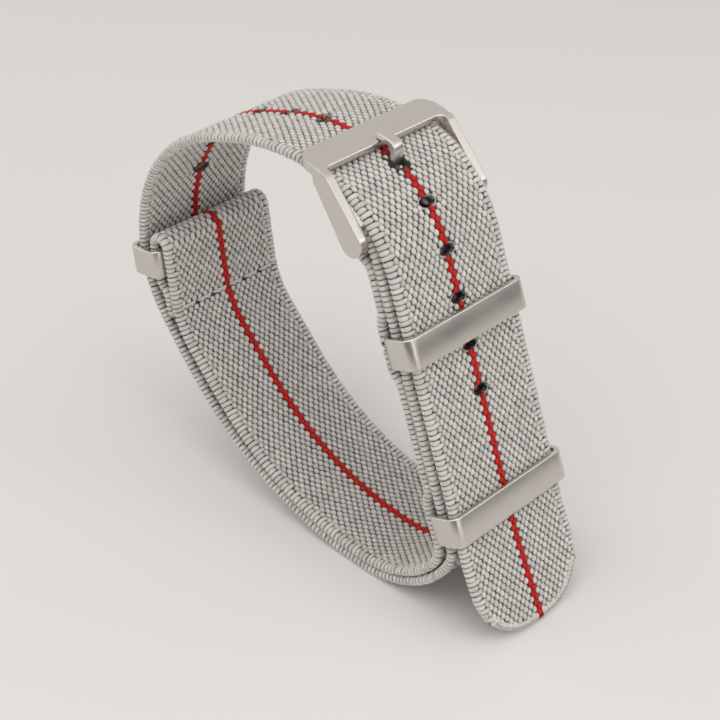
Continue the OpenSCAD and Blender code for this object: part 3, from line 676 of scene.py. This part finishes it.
# Main strap, its red line: two columns of glossier red floats that take turns down the middle of both faces
# and are narrower and deeper beside a hole, over a dark red weft whose darkness is also painted shade
# between the red floats.
# The second colour is painted shade at the base of each float.
red_yarn = yarn_material("red_yarn", (0.64, 0.014, 0.009), (0.14, 0.003, 0.003), 0.5, 0.0)
weft_mat, weft_shader, n, link = new_material("red_weft", 0.7)
weft_noise = n.new("ShaderNodeTexNoise")
weft_noise.inputs["Scale"].default_value = 1600
weft_place = n.new("ShaderNodeTexCoord")
link.new(weft_place.outputs["Object"], weft_noise.inputs["Vector"])
# Dark red: the weft's own red, darkened as painted shade for the gaps between the red floats.
weft_tone = n.new("ShaderNodeValToRGB")
weft_tone.color_ramp.elements[0].color = (0.05, 0.002, 0.002, 1)
weft_tone.color_ramp.elements[1].color = (0.2, 0.006, 0.005, 1)
link.new(weft_noise.outputs["Fac"], weft_tone.inputs["Fac"])
link.new(weft_tone.outputs["Color"], weft_shader.inputs["Base Color"])

main_weft = thinned("main_strap_red_weft", "main_strap_stripe", main_line, keep=0.72, narrow=0.9)
main_weft.data.materials.clear()
main_weft.data.materials.append(weft_mat)
red_tips = sewn_red + straight_cut(main_line, True)[1]
main_red = laid("main_strap_red_line", [
    red_field(main_line, main_skin, face, 1.0, 264.4, main_holes, (), main_phase) for face in (1, -1)
] + red_tips, yarn_float, red_yarn, 31)
for piece in (main_weft, main_red):
    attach(piece, "band")
    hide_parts("main_strap_stripe")

# Short strap: the second ply, of the same webbing, sewn in at the upper keeper and folded over the end
# keeper's inner bar. The seam of that fold draws the yarns down into a shallow groove.
short_line = follow((4.33008, -13.6949, -70), [
    (2.35,), (3, 31.6066), (3, -31.6066), (13.711,), (3, -31.6066), (3, 31.6066), (5.3,), (4.46073, -55),
    (15.9048, -55), (40.4107, -45.5), (8.6,), (12.3726, -36.5), (8.17136,), (1.4, 180), (5,),
    (2.2, 46.1175), (2.2, -46.1175), (13.8226, 12.4352)
])
short_skin = surface_of("short_strap", "short_strap_stripe")
short_length = short_line[-1, 0]


def length_at(line, x, z):
    """Running length of the line's step nearest to a place given from the spring bar's axis."""
    return line[np.argmin((line[:, 1] - x - pin_x) ** 2 + (line[:, 2] - z - pin_z) ** 2), 0]


short_ground = thinned("short_strap_ground", "short_strap", short_line, keep=0.6, narrow=0.975)
short_ground.data.materials.clear()
short_ground.data.materials.append(ground_mat)
fold_seam_x, fold_seam_z = -39.2044, -27.0462
grooves = [short_length - 1.5, length_at(short_line, fold_seam_x + 1.40, fold_seam_z + 0.36)]
short_pieces = [short_ground]
for k, (name, first, last) in enumerate([
    ("short_strap_yarns_sewn", 1.0, 60), ("short_strap_yarns_fold", 60, short_length - 0.9)
]):
    short_pieces.append(laid(
        name, [field(short_line, short_skin, face, first, last, [], grooves) for face in (1, -1)],
        yarn_float, grey_yarn, 41 + k
    ))
first_grey, first_red = straight_cut(short_line, False)
last_grey, last_red = straight_cut(short_line, True)
short_pieces.append(laid("short_strap_cut_ends", first_grey + last_grey, cut_float, grey_yarn, 49, 0.6))
short_pieces.append(laid(
    "short_strap_selvedges", selvedge(short_line, short_skin, 0.6, short_length - 0.4, grooves),
    edge_yarn, grey_yarn, 51, 0.3
))
for piece in short_pieces:
    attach(piece, "band")
    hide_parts("short_strap")

short_weft = thinned("short_strap_red_weft", "short_strap_stripe", short_line, keep=0.72, narrow=0.9)
short_weft.data.materials.clear()
short_weft.data.materials.append(weft_mat)
short_red = laid(
    "short_strap_red_line",
    [red_field(short_line, short_skin, face, 1.0, short_length - 0.9, [], grooves) for face in (1, -1)]
    + first_red + last_red, yarn_float, red_yarn, 61
)
for piece in (short_weft, short_red):
    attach(piece, "band")
    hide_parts("short_strap_stripe")

# Seams: five rows of lock stitches in thick thread, six to a row, through two plies. Each stitch arches
# a little between its needle holes on either face. The photograph shows only the end keeper's row.
# The second colour is painted shade at the base of each stitch.
thread_yarn = yarn_material("seam_thread", (0.7, 0.675, 0.64), (0.12, 0.11, 0.1), 0.5, 0.1)
stitch = swept(
    "stitch",
    [(-1.34, -0.6), (-1.24, -0.25), (-0.95, -0.04), (0, 0.02), (0.95, -0.04), (1.24, -0.25), (1.34, -0.6)],
    half_x=[0.16, 0.21, 0.24, 0.25, 0.24, 0.21, 0.16],
    half_n=[0.13, 0.16, 0.17, 0.17, 0.17, 0.16, 0.13]
)
stitch_y, stitch_in = np.array([-7.5, -4.5, -1.5, 1.5, 4.5, 7.5]), 0.15
for name, x, z, heading, apart in [
    ("seam_above_upper_keeper", 4.27351, -6.6978, -70, 1.45),
    ("seam_below_upper_keeper", 8.68181, -18.8095, -70, 1.45),
    ("seam_above_lower_keeper", 12.824, -30.1901, -70, 1.45),
    ("seam_below_lower_keeper", 15.9858, -38.8771, -70, 2.34),
    ("seam_end_keeper", fold_seam_x, fold_seam_z, 104.218, 1.45)
]:
    row = np.array([[0.0, x + pin_x, z + pin_z, math.radians(heading)]])
    places = []
    for out, flipped in ((half_thick - stitch_in, False), (-apart - half_thick + stitch_in, True)):
        co, turn = on_line(row, np.zeros(6), stitch_y, np.full(6, out), np.zeros(6), flipped)
        places.append((co, turn, np.ones((6, 3))))
    seam = laid(name + "_stitches", places, stitch, thread_yarn, 71, 0.3)
    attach(seam, "band")
    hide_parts(name)


# Buckle frame: pressed and tumbled stainless steel, a flat bar that runs into two cheeks with every
# edge rounded over, and brushed satin along the bar.
def brushed_look():
    """Fine scratches as a tone and a normal, and cloudy wear as a roughness."""
    tree = bpy.data.node_groups.new("Brushed look", "ShaderNodeTree")
    tree.interface.new_socket("Metal", in_out="INPUT", socket_type="NodeSocketColor")
    tree.interface.new_socket("Lines", in_out="INPUT", socket_type="NodeSocketVector")
    tree.interface.new_socket("Color", in_out="OUTPUT", socket_type="NodeSocketColor")
    tree.interface.new_socket("Roughness", in_out="OUTPUT", socket_type="NodeSocketFloat")
    tree.interface.new_socket("Normal", in_out="OUTPUT", socket_type="NodeSocketVector")
    n, link = tree.nodes, tree.links
    into, out = n.new("NodeGroupInput"), n.new("NodeGroupOutput")
    place = n.new("ShaderNodeTexCoord")
    draw = n.new("ShaderNodeVectorMath")
    draw.operation = "MULTIPLY"
    link.new(into.outputs["Lines"], draw.inputs[1])
    link.new(place.outputs["Object"], draw.inputs[0])
    lines = n.new("ShaderNodeTexNoise")
    lines.inputs["Scale"].default_value = 1.0
    lines.inputs["Detail"].default_value = 4
    link.new(draw.outputs["Vector"], lines.inputs["Vector"])
    cloud = n.new("ShaderNodeTexNoise")
    cloud.inputs["Scale"].default_value = 260
    cloud.inputs["Detail"].default_value = 2
    link.new(place.outputs["Object"], cloud.inputs["Vector"])
    tone = n.new("ShaderNodeMapRange")
    tone.inputs["To Min"].default_value, tone.inputs["To Max"].default_value = 0.9, 1.06
    link.new(lines.outputs["Fac"], tone.inputs["Value"])
    tint = n.new("ShaderNodeVectorMath")
    tint.operation = "SCALE"
    link.new(into.outputs["Metal"], tint.inputs[0])
    link.new(tone.outputs["Result"], tint.inputs["Scale"])
    link.new(tint.outputs["Vector"], out.inputs["Color"])
    wear = n.new("ShaderNodeMapRange")
    wear.inputs["To Min"].default_value, wear.inputs["To Max"].default_value = 0.27, 0.4
    link.new(cloud.outputs["Fac"], wear.inputs["Value"])
    link.new(wear.outputs["Result"], out.inputs["Roughness"])
    dent = n.new("ShaderNodeBump")
    dent.inputs["Strength"].default_value = 0.12
    dent.inputs["Distance"].default_value = 0.00002
    link.new(lines.outputs["Fac"], dent.inputs["Height"])
    link.new(dent.outputs["Normal"], out.inputs["Normal"])
    return tree


brushed = brushed_look()


def steel_material(name, metal, lines):
    """Lines is how fast the scratches change along x, y and z: slowly along the way they run."""
    mat, shader, n, link = new_material(name, 0.3, 1.0)
    look = n.new("ShaderNodeGroup")
    look.node_tree = brushed
    look.inputs["Metal"].default_value = (*metal, 1)
    look.inputs["Lines"].default_value = lines
    link.new(look.outputs["Color"], shader.inputs["Base Color"])
    link.new(look.outputs["Roughness"], shader.inputs["Roughness"])
    link.new(look.outputs["Normal"], shader.inputs["Normal"])
    return mat


def worked(name, node, material, edge, grid=0.0):
    """Copy of a CAD metal piece with its edges eased. A grid size rounds it as a whole by remeshing."""
    bm = bmesh.new()
    bm.from_mesh(nodes[node].data)
    bmesh.ops.remove_doubles(bm, verts=bm.verts, dist=weld)
    bmesh.ops.dissolve_limit(bm, angle_limit=math.radians(1), verts=bm.verts, edges=bm.edges)
    bmesh.ops.recalc_face_normals(bm, faces=bm.faces)
    mesh = bpy.data.meshes.new(name)
    bm.to_mesh(mesh)
    bm.free()
    ob = bpy.data.objects.new(name, mesh)
    bpy.context.scene.collection.objects.link(ob)
    if grid:
        corner_fill = 0.00042
        for fill in (corner_fill, -corner_fill):
            whole = ob.modifiers.new("Whole", "REMESH")
            whole.mode, whole.voxel_size = "VOXEL", grid
            swell = ob.modifiers.new("Fill the inner corners", "DISPLACE")
            swell.mid_level, swell.strength = 0, fill
        ease = ob.modifiers.new("Ease", "SMOOTH")
        ease.factor, ease.iterations = 0.5, round((edge / grid) ** 2 * 2)
    else:
        ease = ob.modifiers.new("Ease", "BEVEL")
        ease.width, ease.segments, ease.limit_method, ease.angle_limit = edge, 3, "ANGLE", math.radians(40)
    bpy.context.view_layer.update()
    made = bpy.data.meshes.new_from_object(ob.evaluated_get(bpy.context.evaluated_depsgraph_get()))
    ob.modifiers.clear()
    ob.data = made
    made.name = name
    made.materials.clear()
    made.materials.append(material)
    made.polygons.foreach_set("use_smooth", [True] * len(made.polygons))
    if not grid:
        made.set_sharp_from_angle(angle=math.radians(32))
    return ob


frame_steel = steel_material("satin_steel", (0.66, 0.625, 0.585), (9000, 500, 9000))
buckle = worked("buckle_frame_body", "buckle_frame", frame_steel, edge=0.00018, grid=0.00009)
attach(buckle, "buckle")
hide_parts("buckle_frame")

# Buckle tongue: a flat strip wrapped round the spring bar at one end and curled over the bar at the
# other, brushed across, with rounded edges.
tongue = worked("buckle_tongue_body", "buckle_tongue", frame_steel, edge=0.00016)
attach(tongue, "tongue")
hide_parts("buckle_tongue")

# Spring bar: a turned and crimped tube with a plunger in each end. All of it is inside the strap's fold
# and the cheeks, so the CAD solids stay and only take their finish.
bar_steel = steel_material("turned_steel", (0.6, 0.585, 0.56), (3000, 9000, 3000))
for name in ("spring_bar_tube", "spring_bar_tip_near", "spring_bar_tip_far"):
    nodes[name].data.materials.clear()
    nodes[name].data.materials.append(bar_steel)


# Spring bar coil: hard-drawn wire wound in one length. It is cut at its middle turn into a near and a far
# half.
def half_coil(name, side):
    """The near (-1) or far (1) half of the CAD coil, closed where it is cut."""
    bm = bmesh.new()
    bm.from_mesh(nodes["spring_bar_coil"].data)
    bmesh.ops.remove_doubles(bm, verts=bm.verts, dist=1e-6)
    cut = bmesh.ops.bisect_plane(
        bm, geom=bm.verts[:] + bm.edges[:] + bm.faces[:], plane_co=(0, 0, 0), plane_no=(0, side, 0),
        clear_inner=True
    )
    bmesh.ops.edgeloop_fill(bm, edges=[e for e in cut["geom_cut"] if isinstance(e, bmesh.types.BMEdge)])
    ob = finished_shape(name, bm)
    ob.data.materials.append(bar_steel)
    bpy.context.scene.collection.objects.link(ob)
    return ob


for end, side in (("near", -1), ("far", 1)):
    coil = half_coil("spring_bar_coil_" + end, side)
    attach(coil, "band")
    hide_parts("spring_bar_coil")
    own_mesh(coil)

# Keepers: flat strip bent to a closed ring, satin all over, with a fine bright arris along both edges.
keeper_steel = steel_material("keeper_steel", (0.66, 0.625, 0.585), (7000, 7000, 500))
for name, body in (
    ("keeper_upper", "upper_keeper"), ("keeper_lower", "lower_keeper"), ("keeper_end", "end_keeper")
):
    keeper = worked(name + "_ring", name, keeper_steel, edge=0.00018)
    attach(keeper, body)
    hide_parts(name)

# Floor: one plain pale sheet under everything.
floor_mesh = bpy.data.meshes.new("floor")
floor_mesh.from_pydata([(-2, -2, 0), (2, -2, 0), (2, 2, 0), (-2, 2, 0)], [], [(0, 1, 2, 3)])
floor = bpy.data.objects.new("floor", floor_mesh)
bpy.context.scene.collection.objects.link(floor)
floor_mat, floor_shader, n, link = new_material("paper_floor", 0.9)
floor_shader.inputs["Specular IOR Level"].default_value = 0.1
paper = n.new("ShaderNodeTexNoise")
paper.inputs["Scale"].default_value = 30
paper_tone = n.new("ShaderNodeValToRGB")
paper_tone.color_ramp.elements[0].color = (0.86, 0.842, 0.822, 1)
paper_tone.color_ramp.elements[1].color = (0.88, 0.862, 0.842, 1)
link.new(paper.outputs["Fac"], paper_tone.inputs["Fac"])
link.new(paper_tone.outputs["Color"], floor_shader.inputs["Base Color"])
floor_mesh.materials.append(floor_mat)

# Light: soft area lamps in a pale room. The top light and the key do most, a weaker fill comes from the
# left, and a window and a low strip are there for the metal to reflect.
world = bpy.data.worlds.new("room")
bpy.context.scene.world = world
world.use_nodes = True
n, link = world.node_tree.nodes, world.node_tree.links
room = n["Background"]
room.inputs["Color"].default_value = (0.80, 0.79, 0.775, 1)
room.inputs["Strength"].default_value = 0.56
seen = n.new("ShaderNodeBackground")
seen.inputs["Color"].default_value = (0.72, 0.70, 0.68, 1)
path = n.new("ShaderNodeLightPath")
either = n.new("ShaderNodeMath")
either.operation = "MAXIMUM"
any_of = n.new("ShaderNodeMath")
any_of.operation = "MAXIMUM"
link.new(path.outputs["Is Camera Ray"], either.inputs[0])
link.new(path.outputs["Is Glossy Ray"], either.inputs[1])
link.new(either.outputs["Value"], any_of.inputs[0])
link.new(path.outputs["Is Transmission Ray"], any_of.inputs[1])
pick = n.new("ShaderNodeMixShader")
link.new(any_of.outputs["Value"], pick.inputs["Fac"])
link.new(room.outputs["Background"], pick.inputs[1])
link.new(seen.outputs["Background"], pick.inputs[2])
link.new(pick.outputs["Shader"], n["World Output"].inputs["Surface"])

for name, spot, width, height, power, tint in [
    ("key", (0.36, 0.0, 0.40), 0.4, 0.4, 0.4, (1.0, 0.985, 0.965)),
    ("top", (0.0, -0.2, 0.52), 0.6, 0.6, 1.2, (1.0, 0.99, 0.975)),
    ("fill", (-0.42, -0.25, 0.26), 0.5, 0.3, 0.28, (0.985, 0.99, 1.0)),
    ("window", (0.42, 0.32, 0.275), 0.4, 0.16, 0.3, (1.0, 1.0, 1.0)),
    ("strip", (0.42, -0.09, 0.03), 0.05, 0.3, 0.12, (1.0, 1.0, 1.0))
]:
    lamp = bpy.data.lights.new(name, "AREA")
    lamp.shape, lamp.size, lamp.size_y, lamp.energy, lamp.color = "RECTANGLE", width, height, power, tint
    hung = bpy.data.objects.new(name, lamp)
    hung.location = spot
    hung.rotation_euler = (Vector((0, 0, 0.03)) - Vector(spot)).to_track_quat("-Z", "Y").to_euler()
    bpy.context.scene.collection.objects.link(hung)

# Flags: three black cards that only the metal reflects, one under the camera, one below the window and
# one lying down from that one's foot.
flag_mesh = bpy.data.meshes.new("flag")
flag_mesh.from_pydata([
    (0.06, -0.25, 0), (0.24, -0.08, 0), (0.24, -0.08, 0.1), (0.06, -0.25, 0.1),
    (0.55, 0.15, 0.03), (0.29, 0.49, 0.03), (0.29, 0.49, 0.15), (0.55, 0.15, 0.15),
    (0.32, 0.09, 0.002), (0.17, 0.33, 0.002)
], [], [(0, 1, 2, 3), (4, 5, 6, 7), (8, 9, 5, 4)])
flag = bpy.data.objects.new("flag", flag_mesh)
bpy.context.scene.collection.objects.link(flag)
flag_mat, flag_shader, n, link = new_material("black_card", 0.9)
flag_shader.inputs["Base Color"].default_value = (0.02, 0.02, 0.02, 1)
flag_mesh.materials.append(flag_mat)
flag.visible_camera = False
flag.visible_diffuse = False
flag.visible_shadow = False

# Camera: a long lens about 23 cm away, from the front right and above.
lens = bpy.data.cameras.new("camera")
lens.lens, lens.sensor_width = 82.5, 36
lens.clip_start, lens.clip_end = 0.01, 10
camera = bpy.data.objects.new("camera", lens)
aim = Vector((0.0008057, 0, 0.025909))
az, el = math.radians(44.7), math.radians(34.55)
back = Vector((math.sin(az) * math.cos(el), -math.cos(az) * math.cos(el), math.sin(el)))
camera.location = aim + 0.2286 * back
camera.rotation_euler = (-back).to_track_quat("-Z", "Y").to_euler()
bpy.context.scene.collection.objects.link(camera)
bpy.context.scene.camera = camera
bpy.context.scene.view_settings.view_transform = "Standard"

# The shapes that the yarns were laid from are no pieces of the band.
for shape in (yarn_float, cut_float, hole_collar, closing_weft, edge_yarn, stitch):
    bpy.data.objects.remove(shape)
